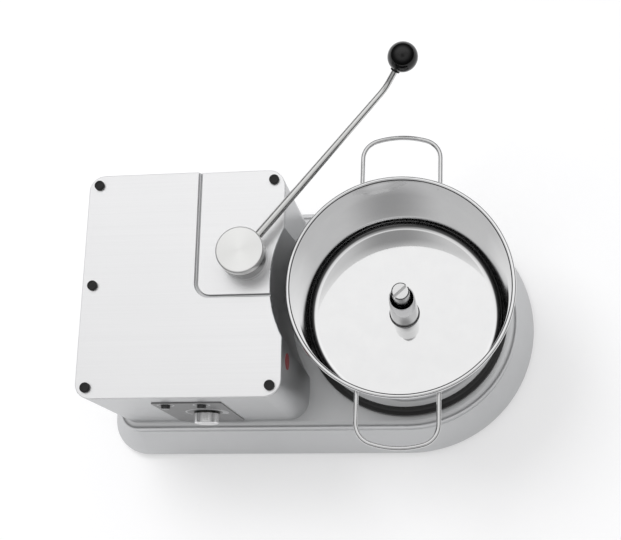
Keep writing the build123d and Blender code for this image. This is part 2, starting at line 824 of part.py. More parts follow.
# ================================================================ motor
motor_base_z = deck_z + flange_t
motor_top_z = motor_base_z + motor_height
motor_bell_t = motor_bearing_h + 4
motor_bearing_z = (deck_z + flange_t - 2, motor_top_z)
with BuildPart() as motor_flange:
    extrude(discs([motor_axis], motor_flange_r, deck_z), amount=flange_t)
    extrude(
        discs([motor_axis], motor_bearing_r + 5, motor_base_z),
        amount=motor_bearing_h,
    )
    extrude(
        discs([motor_axis], motor_bearing_r + seat_gap, motor_bearing_z[0]),
        amount=motor_bearing_h + 2,
        mode=Mode.SUBTRACT,
    )
    extrude(
        discs([motor_axis], motor_shaft_r + 3, deck_z),
        amount=flange_t,
        mode=Mode.SUBTRACT,
    )
    extrude(
        discs(motor_bolt_places, m6_r + screw_gap, deck_z),
        amount=flange_t,
        mode=Mode.SUBTRACT,
    )
write(motor_flange.part, "motor_flange")

motor_can_r = motor_bolt_circle_r - m6_head_r - 1
with BuildPart() as motor_housing:
    extrude(discs([motor_axis], motor_can_r, motor_base_z), amount=motor_height + motor_bell_t)
    fillet(motor_housing.edges().group_by(Axis.Z)[-1], 4)
    extrude(
        discs([motor_axis], motor_can_r - motor_wall, motor_base_z),
        amount=motor_height,
        mode=Mode.SUBTRACT,
    )
    extrude(
        discs([motor_axis], motor_bearing_r + seat_gap, motor_top_z),
        amount=motor_bearing_h,
        mode=Mode.SUBTRACT,
    )
    extrude(
        discs([motor_axis], motor_shaft_r + 3, motor_top_z),
        amount=motor_bell_t,
        mode=Mode.SUBTRACT,
    )
write(motor_housing.part, "motor_housing")

stator_z = motor_base_z + (motor_height - stator_length) / 2 + 2
stator_in_r = rotor_r + air_gap
with BuildPart() as motor_stator:
    revolve(
        ring(stator_in_r, motor_can_r - motor_wall - seat_gap, stator_z, stator_z + stator_length,
             motor_axis),
        axis=upright(motor_axis),
    )
write(motor_stator.part, "motor_stator")

with BuildPart() as motor_rotor:
    revolve(
        ring(motor_shaft_r + seat_gap, rotor_r, stator_z + 1, stator_z + stator_length - 1, motor_axis),
        axis=upright(motor_axis),
    )
write(motor_rotor.part, "motor_rotor")

with BuildPart() as motor_bearings:
    for low in motor_bearing_z:
        revolve(
            ring(motor_shaft_r + running_gap, motor_bearing_r, low, low + motor_bearing_h, motor_axis),
            axis=upright(motor_axis),
        )
write(motor_bearings.part, "motor_bearings")

fan_z = motor_top_z + motor_bell_t + 1.5
pulley_z = belt_z - (pulley_flange / 2)
pulley_height = belt_width + pulley_flange
with BuildPart() as motor_shaft:
    extrude(
        discs([motor_axis], motor_shaft_r, pulley_z),
        amount=fan_z + fan_height - pulley_z,
    )
write(motor_shaft.part, "motor_shaft")

fan_hub_r = motor_shaft_r + 6
with BuildPart() as motor_fan:
    revolve(
        ring(motor_shaft_r + seat_gap, fan_hub_r, fan_z, fan_z + fan_height, motor_axis),
        axis=upright(motor_axis),
    )
    revolve(
        ring(fan_hub_r - 1, fan_r, fan_z, fan_z + 1.5, motor_axis),
        axis=upright(motor_axis),
    )
    with BuildSketch(Plane.XY.offset(fan_z + 1)):
        with Locations(motor_axis):
            with PolarLocations((fan_hub_r + fan_r) / 2 - 1, fan_blades):
                Rectangle(fan_r - fan_hub_r, 1.6)
    extrude(amount=fan_height - 1)
write(motor_fan.part, "motor_fan")


def pulley_profile(bore, radius, centre):
    """Flat belt pulley with two low flanges."""
    rim = radius + belt_t / 2
    low = pulley_z
    high = pulley_z + pulley_height
    edge = pulley_flange / 2
    points = [(bore, low), (rim, low), (rim, low + edge - free_gap), (radius, low + edge - free_gap)]
    points += [(radius, high - edge + free_gap), (rim, high - edge + free_gap), (rim, high)]
    points += [(bore, high)]
    return profile(points, centre)


with BuildPart() as motor_pulley:
    revolve(
        pulley_profile(motor_shaft_r + seat_gap, motor_pulley_r, motor_axis),
        axis=upright(motor_axis),
    )
write(motor_pulley.part, "motor_pulley")

with BuildPart() as driven_pulley:
    revolve(
        pulley_profile(shaft_pulley_r + seat_gap, driven_pulley_r, bowl_axis),
        axis=upright(bowl_axis),
    )
    with BuildSketch(Plane.XY.offset(pulley_z)):
        with Locations((bowl_x + shaft_pulley_r, bowl_y)):
            Rectangle(key_height + 0.2, key_width + 0.1)
    extrude(amount=pulley_height, mode=Mode.SUBTRACT)
    with BuildSketch(Plane.XY.offset(pulley_z)):
        with Locations(bowl_axis):
            with PolarLocations((shaft_pulley_r + driven_pulley_r) / 2 + 2, 5):
                Circle(7)
    extrude(amount=pulley_height, mode=Mode.SUBTRACT)
write(driven_pulley.part, "driven_pulley")

with BuildPart() as drive_belt:
    extrude(belt_outline(free_gap + belt_t, belt_z), amount=belt_width)
    extrude(belt_outline(free_gap, belt_z), amount=belt_width, mode=Mode.SUBTRACT)
write(drive_belt.part, "drive_belt")

# ================================================================ drive shaft
upper_bearing_z = deck_under_z - shaft_bearing_h
spacer_h = 4.0
clip_groove_h = 4.0
lower_bearing_z = upper_bearing_z - spacer_h - shaft_bearing_h
housing_bottom_z = lower_bearing_z - housing_lip
shaft_collar_h = 3.0
shaft_top_z = tube_top_z + drive_end_length + 2
drive_end_z = tube_top_z + 2
shaft_nut_z = pulley_z - 5.0
thread_r = 8.0
shaft_boss_top_z = deck_z + shaft_boss_h
with BuildPart() as drive_shaft:
    outline = [
        (0, shaft_nut_z - 0.5),
        (thread_r, shaft_nut_z - 0.5),
        (thread_r, pulley_z + 1),
        (shaft_pulley_r, pulley_z + 1),
        (shaft_pulley_r, lower_bearing_z - 1),
        (shaft_journal_r, lower_bearing_z - 1),
        (shaft_journal_r, deck_under_z),
        (shaft_journal_r + 2.5, deck_under_z),
        (shaft_journal_r + 2.5, deck_under_z + shaft_collar_h),
        (shaft_journal_r, deck_under_z + shaft_collar_h),
        (shaft_journal_r, shaft_boss_top_z + 1),
        (shaft_neck_r, shaft_boss_top_z + 3),
        (shaft_neck_r, drive_end_z),
        (drive_end_r, drive_end_z),
        (drive_end_r, shaft_top_z - 1.5),
        (drive_end_r - 1.5, shaft_top_z),
        (0, shaft_top_z),
    ]
    revolve(profile(outline, bowl_axis), axis=upright(bowl_axis))
    with BuildSketch(Plane.XY.offset(shaft_top_z)):
        with Locations(Location(bowl_axis, drive_slot_angle)):
            Rectangle(3 * drive_end_r, drive_slot_width)
    extrude(amount=-drive_slot_depth, mode=Mode.SUBTRACT)
    with BuildSketch(Plane.XY.offset(pulley_z + 1)):
        with Locations((bowl_x + shaft_pulley_r, bowl_y)):
            Rectangle(key_height, key_width)
    extrude(amount=pulley_height - 1, mode=Mode.SUBTRACT)
write(drive_shaft.part, "drive_shaft")

with BuildPart() as shaft_key:
    with BuildSketch(Plane.XY.offset(pulley_z + 1.5)):
        with Locations((bowl_x + shaft_pulley_r, bowl_y)):
            Rectangle(key_height, key_width)
    extrude(amount=pulley_height - 2)
write(shaft_key.part, "shaft_key")

with BuildPart() as pulley_nut:
    with BuildSketch(Plane.XY.offset(shaft_nut_z)):
        with Locations(bowl_axis):
            RegularPolygon(13, 6)
            Circle(thread_r + seat_gap, mode=Mode.SUBTRACT)
    extrude(amount=pulley_z - shaft_nut_z)
write(pulley_nut.part, "pulley_nut")

with BuildPart() as shaft_bearings:
    for low in (lower_bearing_z, upper_bearing_z):
        revolve(
            ring(shaft_journal_r + running_gap, shaft_bearing_r, low, low + shaft_bearing_h, bowl_axis),
            axis=upright(bowl_axis),
        )
write(shaft_bearings.part, "shaft_bearings")

with BuildPart() as bearing_housing:
    land_r = shaft_bearing_r - housing_lip
    outline = [
        (land_r, housing_bottom_z),
        (housing_barrel_r, housing_bottom_z),
        (housing_barrel_r, deck_under_z - flange_t),
        (housing_flange_r, deck_under_z - flange_t),
        (housing_flange_r, deck_under_z),
        (shaft_bearing_r + seat_gap, deck_under_z),
        (shaft_bearing_r + seat_gap, upper_bearing_z),
        (land_r, upper_bearing_z),
        (land_r, upper_bearing_z - spacer_h),
        (shaft_bearing_r + seat_gap, upper_bearing_z - spacer_h),
        (shaft_bearing_r + seat_gap, housing_bottom_z + clip_groove_h),
        (land_r, housing_bottom_z + clip_groove_h),
    ]
    revolve(profile(outline, bowl_axis), axis=upright(bowl_axis))
    extrude(
        discs(housing_bolt_places, m6_r + screw_gap, deck_under_z - flange_t),
        amount=flange_t,
        mode=Mode.SUBTRACT,
    )
write(bearing_housing.part, "bearing_housing")

flange_bolt_seat_z = deck_under_z - flange_t
with BuildPart() as flange_bolts:
    add(screws(motor_bolt_places, motor_base_z, m6_r, flange_bolt_length, m6_head_r, m6_head_h, 1))
    add(
        screws(
            housing_bolt_places,
            flange_bolt_seat_z,
            m6_r,
            flange_bolt_length,
            m6_head_r,
            m6_head_h,
            -1,
        )
    )
write(flange_bolts.part, "flange_bolts")

with BuildPart() as shaft_seal:
    revolve(
        ring(shaft_journal_r + running_gap, seal_r, shaft_boss_top_z - seal_h - 1, shaft_boss_top_z - 1,
             bowl_axis),
        axis=upright(bowl_axis),
    )
write(shaft_seal.part, "shaft_seal")

# ================================================================ bowl
wall_floor_r = bowl_rim_r - bowl_taper
seat_ring_in_r = seat_ring_r - seat_ring_lip - seat_ring_width
seat_ring_foot_r = wall_floor_r + bowl_sheet + free_gap
with BuildPart() as bowl_seat_ring:
    outline = [
        (seat_ring_in_r, deck_z),
        (seat_ring_r, deck_z),
        (seat_ring_r, deck_z + 10),
        (seat_ring_foot_r, deck_z + 10),
        (wall_floor_r - bowl_cove_r, bowl_under_z),
        (seat_ring_in_r, bowl_under_z),
    ]
    revolve(profile(outline, bowl_axis), axis=upright(bowl_axis))
write(bowl_seat_ring.part, "bowl_seat_ring")

socket_length = bowl_under_z - deck_z - 5
with BuildPart() as bowl_pegs:
    extrude(discs(peg_places, peg_r, deck_under_z), amount=bowl_under_z - deck_under_z - 3)
    chamfer(bowl_pegs.edges().group_by(Axis.Z)[-1], 1)
write(bowl_pegs.part, "bowl_pegs")

with BuildPart() as bowl_peg_sockets:
    extrude(discs(peg_places, peg_r + free_gap + socket_wall, bowl_under_z), amount=-socket_length)
    extrude(
        discs(peg_places, peg_r + free_gap, bowl_under_z - socket_length),
        amount=socket_length,
        mode=Mode.SUBTRACT,
    )
write(bowl_peg_sockets.part, "bowl_peg_sockets")

bead_z = bowl_rim_z - rim_bead_r
bead_centre_r = bowl_rim_r + rim_bead_r
with BuildPart() as bowl_shell:
    with BuildSketch(side_plane(bowl_axis)):
        with BuildLine():
            Polyline(
                (tube_base_r, bowl_floor_z),
                (wall_floor_r, bowl_floor_z),
                (bowl_rim_r, bead_z),
                (bowl_rim_r + bowl_sheet, bead_z),
                (wall_floor_r + bowl_sheet, bowl_under_z),
                (tube_base_r, bowl_under_z),
                close=True,
            )
        inner = make_face()
        corners = inner.vertices().sort_by_distance((bowl_x + wall_floor_r, bowl_y, bowl_floor_z))
        fillet(corners[0], bowl_cove_r)
        outer = corners.sort_by_distance((bowl_x + wall_floor_r + bowl_sheet, bowl_y, bowl_under_z))
        fillet(outer[0], bowl_cove_r + bowl_sheet)
        with Locations((bead_centre_r, bead_z)):
            Circle(rim_bead_r)
    revolve(axis=upright(bowl_axis))
write(bowl_shell.part, "bowl_shell")

with BuildPart() as bowl_tube:
    outline = [
        (tube_base_r - tube_sheet - seat_gap, bowl_under_z),
        (tube_base_r - seat_gap, bowl_under_z),
        (tube_base_r - seat_gap, bowl_floor_z),
        (tube_mouth_r, tube_top_z - 0.8),
        (tube_mouth_r - tube_sheet / 2, tube_top_z),
        (tube_mouth_r - tube_sheet, tube_top_z - 0.8),
        (tube_base_r - tube_sheet - seat_gap, bowl_floor_z),
    ]
    revolve(profile(outline, bowl_axis), axis=upright(bowl_axis))
write(bowl_tube.part, "bowl_tube")

wire_top_z = handle_z + handle_wire_r
wire_wall_taper = bowl_taper * (bead_z - wire_top_z) / (bead_z - bowl_under_z)
wire_wall_r = bowl_rim_r + bowl_sheet - wire_wall_taper + seat_gap
crown_x = handle_gap / 2 - handle_corner_r
crown_rise = handle_crown_r - handle_corner_r
crown_angle = degrees(asin(crown_x / crown_rise))
corner_reach = handle_reach - handle_crown_r + crown_rise * cos(radians(crown_angle))
def handle_wire(side):
    """One handle about the bowl's axis, bent from wire, at its back (1) or front (-1)."""
    turn = -side * (90 - crown_angle)
    with BuildLine() as wire:
        leg = Line((-handle_gap / 2, side * bowl_rim_r / 2), (-handle_gap / 2, side * corner_reach))
        corner = JernArc(leg @ 1, leg % 1, handle_corner_r, turn)
        crown = JernArc(corner @ 1, corner % 1, handle_crown_r, -side * 2 * crown_angle)
        other = JernArc(crown @ 1, crown % 1, handle_corner_r, turn)
        Line(other @ 1, (handle_gap / 2, side * bowl_rim_r / 2))
    with BuildPart() as handle:
        with BuildSketch(Plane(origin=leg @ 0, z_dir=leg % 0)):
            Circle(handle_wire_r)
        sweep(path=wire.wire())
    return handle.part


with BuildPart() as bowl_handles:
    with Locations(Location((bowl_x, bowl_y, handle_z), (0, 0, handle_turn))):
        add(handle_wire(1))
        add(handle_wire(-1))
    extrude(
        discs([bowl_axis], wire_wall_r, handle_z - 2 * handle_wire_r),
        amount=4 * handle_wire_r,
        mode=Mode.SUBTRACT,
    )
write(bowl_handles.part, "bowl_handles")

# ================================================================ lever
collar_top_z = lever_cover_top_z + collar_h
hub_z = collar_top_z + washer_t
rod_z = hub_z + hub_h / 2
hub_top_z = hub_z + hub_h
bush_bottom_z = lever_cover_top_z - bush_drop
lever_dir = (cos(radians(lever_angle)), sin(radians(lever_angle)))
lever_plane = Plane(
    origin=(column_axis[0], column_axis[1], rod_z),
    x_dir=(lever_dir[0], lever_dir[1], 0),
    z_dir=(lever_dir[1], -lever_dir[0], 0),
)
rod_root = spindle_r + 4

with BuildPart() as lever_collar:
    outline = [
        (spindle_r + bush_wall + seat_gap, bush_bottom_z),
        (bearing_drop_r, bush_bottom_z),
        (bearing_drop_r, lever_cover_top_z),
        (collar_r, lever_cover_top_z),
        (collar_r, collar_top_z - 1),
        (collar_r - 1, collar_top_z),
        (spindle_r + bush_wall + seat_gap, collar_top_z),
    ]
    revolve(profile(outline, column_axis), axis=upright(column_axis))
    extrude(
        discs(collar_bolt_places, m4_r + seat_gap, lever_cover_top_z),
        amount=collar_h - 3,
        mode=Mode.SUBTRACT,
    )
write(lever_collar.part, "lever_collar")

collar_screws = screws(
    collar_bolt_places, lever_cover_under_z, m4_r, cover_t + collar_h - 4, m4_head_r, m4_head_h, -1
)
write(collar_screws, "collar_screws")

with BuildPart() as spindle_bush:
    outline = [
        (spindle_r + running_gap, bush_bottom_z),
        (spindle_r + bush_wall, bush_bottom_z),
        (spindle_r + bush_wall, collar_top_z),
        (collar_r - 4, collar_top_z),
        (collar_r - 4, collar_top_z + washer_t - 0.1),
        (spindle_r + running_gap, collar_top_z + washer_t - 0.1),
    ]
    revolve(profile(outline, column_axis), axis=upright(column_axis))
write(spindle_bush.part, "spindle_bush")

nut_h = 8.0
cam_gap = 1.0
spindle_bottom_z = bush_bottom_z - free_gap - nut_h - cam_gap - cam_h
with BuildPart() as lever_spindle:
    extrude(
        discs([column_axis], spindle_r, spindle_bottom_z),
        amount=hub_top_z + hub_cap_h / 2 - spindle_bottom_z,
    )
write(lever_spindle.part, "lever_spindle")

with BuildPart() as spindle_nut:
    with BuildSketch(Plane.XY.offset(bush_bottom_z - free_gap - nut_h)):
        with Locations(column_axis):
            RegularPolygon(15, 6, major_radius=False)
            Circle(spindle_r + seat_gap, mode=Mode.SUBTRACT)
    extrude(amount=nut_h)
write(spindle_nut.part, "spindle_nut")

with BuildPart() as switch_cam:
    with BuildSketch(Plane.XY.offset(spindle_bottom_z)):
        with Locations(column_axis):
            Circle(cam_r)
            Circle(spindle_r + seat_gap, mode=Mode.SUBTRACT)
        with Locations(Location(column_axis, lever_angle + 60)):
            with Locations((cam_r + 2, 0)):
                Circle(8, mode=Mode.SUBTRACT)
    extrude(amount=cam_h)
write(switch_cam.part, "switch_cam")

# the microswitch stands beside the cam on a bracket that hangs from the lever's cover
switch_length = 28.0
switch_width = 10.0
switch_height = 16.0
switch_x = column_axis[0] - cam_r - 1.5 - switch_width / 2
switch_mid_z = spindle_bottom_z + cam_h / 2
with BuildPart() as lid_switch:
    with BuildSketch(Plane.XY.offset(switch_mid_z - switch_height / 2)):
        with Locations((switch_x, column_axis[1])):
            Rectangle(switch_width, switch_length)
    extrude(amount=switch_height)
    with BuildSketch(
        Plane(origin=(switch_x, column_axis[1], switch_mid_z), x_dir=(0, 1, 0), z_dir=(1, 0, 0))
    ):
        Circle(2)
    extrude(amount=switch_width / 2 + 1)
write(lid_switch.part, "lid_switch")

bracket_t = 2.0
bracket_x = switch_x - switch_width / 2 - bracket_t / 2
with BuildPart() as switch_bracket:
    with BuildSketch(Plane.XY.offset(switch_mid_z - switch_height / 2)):
        with Locations((bracket_x, column_axis[1])):
            Rectangle(bracket_t, switch_length)
    extrude(amount=lever_cover_under_z - switch_mid_z + switch_height / 2)
write(switch_bracket.part, "switch_bracket")

with BuildPart() as lever_hub:
    groove_pitch = hub_h / (hub_grooves + 1)
    groove_z = [hub_z + groove_pitch * (index + 1) for index in range(hub_grooves)]
    outline = [(spindle_r + seat_gap, hub_z), (hub_r - 1, hub_z), (hub_r, hub_z + 1)]
    for z in groove_z:
        outline += [
            (hub_r, z - hub_groove / 2),
            (hub_r - hub_groove, z - hub_groove / 2),
            (hub_r - hub_groove, z + hub_groove / 2),
            (hub_r, z + hub_groove / 2),
        ]
    outline += [(hub_r, hub_top_z), (spindle_r + seat_gap, hub_top_z)]
    revolve(profile(outline, column_axis), axis=upright(column_axis))
    with BuildSketch(Plane(origin=lever_plane.origin, z_dir=lever_plane.x_dir).offset(rod_root - 0.5)):
        Circle(rod_root_r + seat_gap)
    extrude(amount=hub_r, mode=Mode.SUBTRACT)
    grub_r = 2.5
    grub_reach = (rod_root + hub_r) / 2
    grub_place = (
        column_axis[0] + grub_reach * lever_dir[0],
        column_axis[1] + grub_reach * lever_dir[1],
    )
    extrude(discs([grub_place], grub_r + seat_gap, rod_z), amount=hub_h, mode=Mode.SUBTRACT)
write(lever_hub.part, "lever_hub")

with BuildPart() as rod_grub_screw:
    extrude(
        discs([grub_place], grub_r, rod_z + rod_root_r + 0.1),
        amount=hub_top_z - rod_z - rod_root_r - 0.4,
    )
write(rod_grub_screw.part, "rod_grub_screw")

with BuildPart() as hub_cap:
    extrude(discs([column_axis], hub_cap_r, hub_top_z), amount=hub_cap_h)
    fillet(hub_cap.edges().group_by(Axis.Z)[-1], 2.2)
    extrude(
        discs([column_axis], hub_cap_r - 2, hub_top_z),
        amount=hub_groove,
        mode=Mode.SUBTRACT,
    )
    extrude(discs([column_axis], hub_cap_r - 4, hub_top_z), amount=hub_groove)
    extrude(
        discs([column_axis], spindle_r + seat_gap, hub_top_z),
        amount=hub_cap_h / 2 + 0.3,
        mode=Mode.SUBTRACT,
    )
write(hub_cap.part, "hub_cap")

bend_end = (
    rod_reach + rod_bend_r * sin(radians(rod_bend)),
    rod_bend_r * (1 - cos(radians(rod_bend))),
)
tail_end = (ball_reach, bend_rise)
rod_section = Plane(origin=lever_plane.origin, z_dir=lever_plane.x_dir)
with BuildPart() as lever_rod:
    with BuildSketch(rod_section.offset(rod_root)):
        Circle(rod_root_r)
    with BuildSketch(rod_section.offset(rod_reach)):
        Circle(rod_tip_r)
    loft()
    with BuildLine(lever_plane) as tail_path:
        CenterArc((rod_reach, rod_bend_r), rod_bend_r, -90, rod_bend)
        Line(bend_end, tail_end)
    with BuildSketch(rod_section.offset(rod_reach)):
        Circle(rod_tip_r)
    sweep(path=tail_path.line)
write(lever_rod.part, "lever_rod")

ball_plane = Plane(
    origin=lever_plane.from_local_coords((tail_end[0], tail_end[1], 0)),
    z_dir=lever_plane.from_local_coords((cos(radians(rod_bend)), sin(radians(rod_bend)), 0))
    - lever_plane.origin,
)
with BuildPart() as lever_ball:
    with Locations(ball_plane.origin):
        Sphere(ball_r)
    with BuildSketch(ball_plane.offset(-ball_r - 1)):
        Circle(rod_tip_r + 2.2)
    extrude(amount=4)
    with BuildSketch(ball_plane.offset(-ball_r - 2)):
        Circle(rod_tip_r + seat_gap)
    extrude(amount=ball_r + 2.3, mode=Mode.SUBTRACT)
write(lever_ball.part, "lever_ball")
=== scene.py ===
import math

import bpy
import bmesh
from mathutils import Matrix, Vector


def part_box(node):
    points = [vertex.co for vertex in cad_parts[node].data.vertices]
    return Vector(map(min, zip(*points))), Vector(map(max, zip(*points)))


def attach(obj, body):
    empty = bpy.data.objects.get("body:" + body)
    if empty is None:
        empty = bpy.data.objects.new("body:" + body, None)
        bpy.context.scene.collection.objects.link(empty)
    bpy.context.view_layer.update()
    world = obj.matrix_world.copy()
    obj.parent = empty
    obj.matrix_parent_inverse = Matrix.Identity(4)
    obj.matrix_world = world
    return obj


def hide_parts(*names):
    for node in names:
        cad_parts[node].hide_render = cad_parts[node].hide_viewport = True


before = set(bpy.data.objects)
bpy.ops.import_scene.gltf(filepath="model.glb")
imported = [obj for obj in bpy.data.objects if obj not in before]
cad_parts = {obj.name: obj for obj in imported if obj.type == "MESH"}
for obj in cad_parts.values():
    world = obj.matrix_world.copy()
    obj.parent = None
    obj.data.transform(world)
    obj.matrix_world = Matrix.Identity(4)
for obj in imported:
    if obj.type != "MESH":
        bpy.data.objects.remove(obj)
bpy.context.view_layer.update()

# ------------------------------------------------------------ camera and studio
# A white table in a white tent: one soft lamp behind the machine at its left gives the shadow, and
# the room is bright overhead, dark at its foot and a little dimmer at the front.  The camera stands
# in front of the machine at its right, high up, and looks steeply down.
camera_data = bpy.data.cameras.new("camera")
camera_data.lens = 59.25
camera_data.sensor_width = 36.0
camera_data.clip_end = 20
camera = bpy.data.objects.new("camera", camera_data)
camera.location = (0.18846, -0.39765, 1.50196)
camera.rotation_euler = (0.290297, 0.1358, 0.010847)
bpy.context.collection.objects.link(camera)
bpy.context.scene.camera = camera
bpy.context.scene.view_settings.view_transform = "Standard"


def lamp(name, place, aim, width, depth, power):
    """A soft rectangular lamp that looks from one place to another."""
    data = bpy.data.lights.new(name, "AREA")
    data.shape = "RECTANGLE"
    data.size = width
    data.size_y = depth
    data.energy = power
    light = bpy.data.objects.new(name, data)
    light.location = place
    light.rotation_euler = (Vector(aim) - Vector(place)).to_track_quat("-Z", "Y").to_euler()
    bpy.context.collection.objects.link(light)
    return light


key = lamp("key", (-0.75, 0.6, 2.1), (0, 0, 0.1), 0.9, 0.9, 21)
key.visible_glossy = False


class Wire:
    """A socket that takes part in sums, so that a pattern reads as plain arithmetic."""

    def __init__(self, graph, socket):
        self.graph = graph
        self.socket = socket

    def sum(self, operation, first, second):
        return self.graph.node("ShaderNodeMath", {"operation": operation}, [first, second])

    def __add__(self, other):
        return self.sum("ADD", self, other)

    def __radd__(self, other):
        return self.sum("ADD", other, self)

    def __mul__(self, other):
        return self.sum("MULTIPLY", self, other)

    def __rmul__(self, other):
        return self.sum("MULTIPLY", other, self)


class Graph:
    """A node tree that is filled one node at a time."""

    def __init__(self, tree):
        self.tree = tree

    def node(self, kind, settings=None, values=(), output=0):
        made = self.tree.nodes.new(kind)
        for key, value in (settings or {}).items():
            if key == "stops":
                ramp = made.color_ramp
                while len(ramp.elements) < len(value):
                    ramp.elements.new(0.5)
                for element, (place, colour) in zip(ramp.elements, value):
                    element.position = place
                    element.color = colour if len(colour) == 4 else (*colour, 1)
            else:
                setattr(made, key, value)
        pairs = values.items() if isinstance(values, dict) else enumerate(values)
        for key, value in pairs:
            if isinstance(value, Wire):
                self.tree.links.new(value.socket, made.inputs[key])
            elif value is not None:
                made.inputs[key].default_value = value
        return Wire(self, made.outputs[output])


table_half = 6
table_corners = [(sx * table_half, sy * table_half, 0) for sx, sy in ((-1, -1), (1, -1), (1, 1), (-1, 1))]
table_mesh = bpy.data.meshes.new("table")
table_mesh.from_pydata(table_corners, [], [(0, 1, 2, 3)])
table = bpy.data.objects.new("table", table_mesh)
bpy.context.collection.objects.link(table)
table_white = bpy.data.materials.new("table_white")
table_white.use_nodes = True
sheet = Graph(table_white.node_tree)
sheet.tree.nodes.clear()
ray = sheet.tree.nodes.new("ShaderNodeLightPath")
seen = Wire(sheet, ray.outputs["Is Camera Ray"])
mirrored = Wire(sheet, ray.outputs["Is Glossy Ray"])
matt = sheet.node("ShaderNodeBsdfDiffuse", None, {"Color": (0.94, 0.94, 0.95, 1)})
glow_strength, glow_seen, glow_mirrored = 1.22, 0.36, 0.34
glow = sheet.node("ShaderNodeEmission", None, {"Color": (1, 1, 1, 1), "Strength": glow_strength})
glow_share = seen * glow_seen + mirrored * glow_mirrored
mixed = sheet.node("ShaderNodeMixShader", None, [glow_share, matt, glow])
sheet.tree.links.new(mixed.socket, sheet.tree.nodes.new("ShaderNodeOutputMaterial").inputs[0])
table_mesh.materials.append(table_white)

world = bpy.data.worlds.new("studio")
world.use_nodes = True
bpy.context.scene.world = world
room = Graph(world.node_tree)
room.tree.nodes.clear()
way = room.node("ShaderNodeTexCoord")
direction = Wire(room, way.socket.node.outputs["Generated"])
across = room.node("ShaderNodeSeparateXYZ", None, [direction], output=1)
height = room.node("ShaderNodeSeparateXYZ", None, [direction], output=2)
tent = room.node("ShaderNodeValToRGB", {"stops": [
    (0.0, (0.02, 0.02, 0.02)), (0.18, (0.04, 0.04, 0.04)), (0.40, (0.16, 0.16, 0.165)),
    (0.58, (0.55, 0.55, 0.555)), (0.74, (0.90, 0.90, 0.905)), (1.0, (1.0, 1.0, 1.0)),
]}, [height])
slope = room.node("ShaderNodeMapRange", None, [across, 0.0, 0.34, 0.86, 1.24])
# A dimmer round patch hangs overhead at the front.
rig_way = (0.02, -0.30, 0.95)
rig_core, rig_edge, rig_dim = 0.10, 0.34, 0.48
soft_step = {"interpolation_type": "SMOOTHSTEP"}
rig = room.node("ShaderNodeVectorMath", {"operation": "DISTANCE"}, [direction, rig_way], output=1)
rig_shade = room.node("ShaderNodeMapRange", soft_step, [rig, rig_core, rig_edge, rig_dim, 1.0])
walls = room.node("ShaderNodeMix", {"data_type": "RGBA", "blend_type": "MULTIPLY"}, {
    0: 1.0, 6: tent, 7: slope * rig_shade}, output=2)
room_ray = room.tree.nodes.new("ShaderNodeLightPath")
room_seen = Wire(room, room_ray.outputs["Is Camera Ray"])
backdrop = room.node("ShaderNodeMix", {"data_type": "RGBA"}, {
    0: room_seen, 6: walls, 7: (1, 1, 1, 1)}, output=2)
sky = room.node("ShaderNodeBackground", None, {"Color": backdrop, "Strength": 1.0})
room.tree.links.new(sky.socket, room.tree.nodes.new("ShaderNodeOutputWorld").inputs[0])


class Finish(Graph):
    """One material: a principled surface, and the pattern nodes that feed it."""

    def __init__(self, name, colour, rough, metal=0.0, coat=0.0):
        self.material = bpy.data.materials.new(name)
        self.material.use_nodes = True
        super().__init__(self.material.node_tree)
        self.surface = next(n for n in self.tree.nodes if n.type == "BSDF_PRINCIPLED")
        self.surface.inputs["Base Color"].default_value = (*colour, 1)
        self.surface.inputs["Roughness"].default_value = rough
        self.surface.inputs["Metallic"].default_value = metal
        self.surface.inputs["Coat Weight"].default_value = coat
        place = self.node("ShaderNodeTexCoord")
        self.place = Wire(self, place.socket.node.outputs["Object"])

    def stretched(self, across, along, up):
        """The object's own coordinates, squeezed so that grain runs one way."""
        squeeze = (across, along, up)
        return self.node("ShaderNodeVectorMath", {"operation": "MULTIPLY"}, [self.place, squeeze])

    def noise(self, scale, detail=3.0, where=None):
        values = {"Vector": where or self.place, "Scale": scale, "Detail": detail, "Roughness": 0.5}
        return self.node("ShaderNodeTexNoise", None, values)

    def feed(self, socket, wire):
        self.tree.links.new(wire.socket, self.surface.inputs[socket])

    def tint(self, dark, light, amount):
        """Colour that drifts between two values over the surface."""
        self.feed("Base Color", self.between((*dark, 1), (*light, 1), amount))

    def between(self, first, second, amount):
        """Mix of two colours."""
        values = {0: amount, 6: first, 7: second}
        return self.node("ShaderNodeMix", {"data_type": "RGBA"}, values, output=2)

    def relief(self, pattern, depth):
        """Bumps of a given depth in metres."""
        values = {"Strength": 1.0, "Distance": depth, "Height": pattern}
        self.feed("Normal", self.node("ShaderNodeBump", None, values))


def dress(finish, *names):
    """Give CAD pieces their finish."""
    for name in names:
        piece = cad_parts[name]
        if not piece.material_slots:
            piece.data.materials.append(finish.material)
        for holder in piece.material_slots:
            holder.material = finish.material


# ------------------------------------------------------------ base
# One aluminium casting, blasted and clear lacquered to an even satin grey.  A bottom pan of
# painted sheet closes it, and it stands on four moulded rubber feet.
cast = Finish("satin_casting", (0.60, 0.605, 0.61), 0.36, metal=0.9)
cloud = cast.noise(9, 4)
speck = cast.noise(2200, 2)
cast.tint((0.55, 0.555, 0.56), (0.65, 0.655, 0.66), cloud)
cast.feed("Roughness", cloud * 0.06 + speck * 0.08 + 0.30)
cast.relief(speck, 0.00004)
dress(cast, "base_casting")

pan_paint = Finish("pan_paint", (0.16, 0.16, 0.165), 0.5)
peel = pan_paint.noise(700, 2)
pan_paint.tint((0.14, 0.14, 0.145), (0.19, 0.19, 0.195), pan_paint.noise(14, 3))
pan_paint.relief(peel, 0.00005)
dress(pan_paint, "bottom_pan")

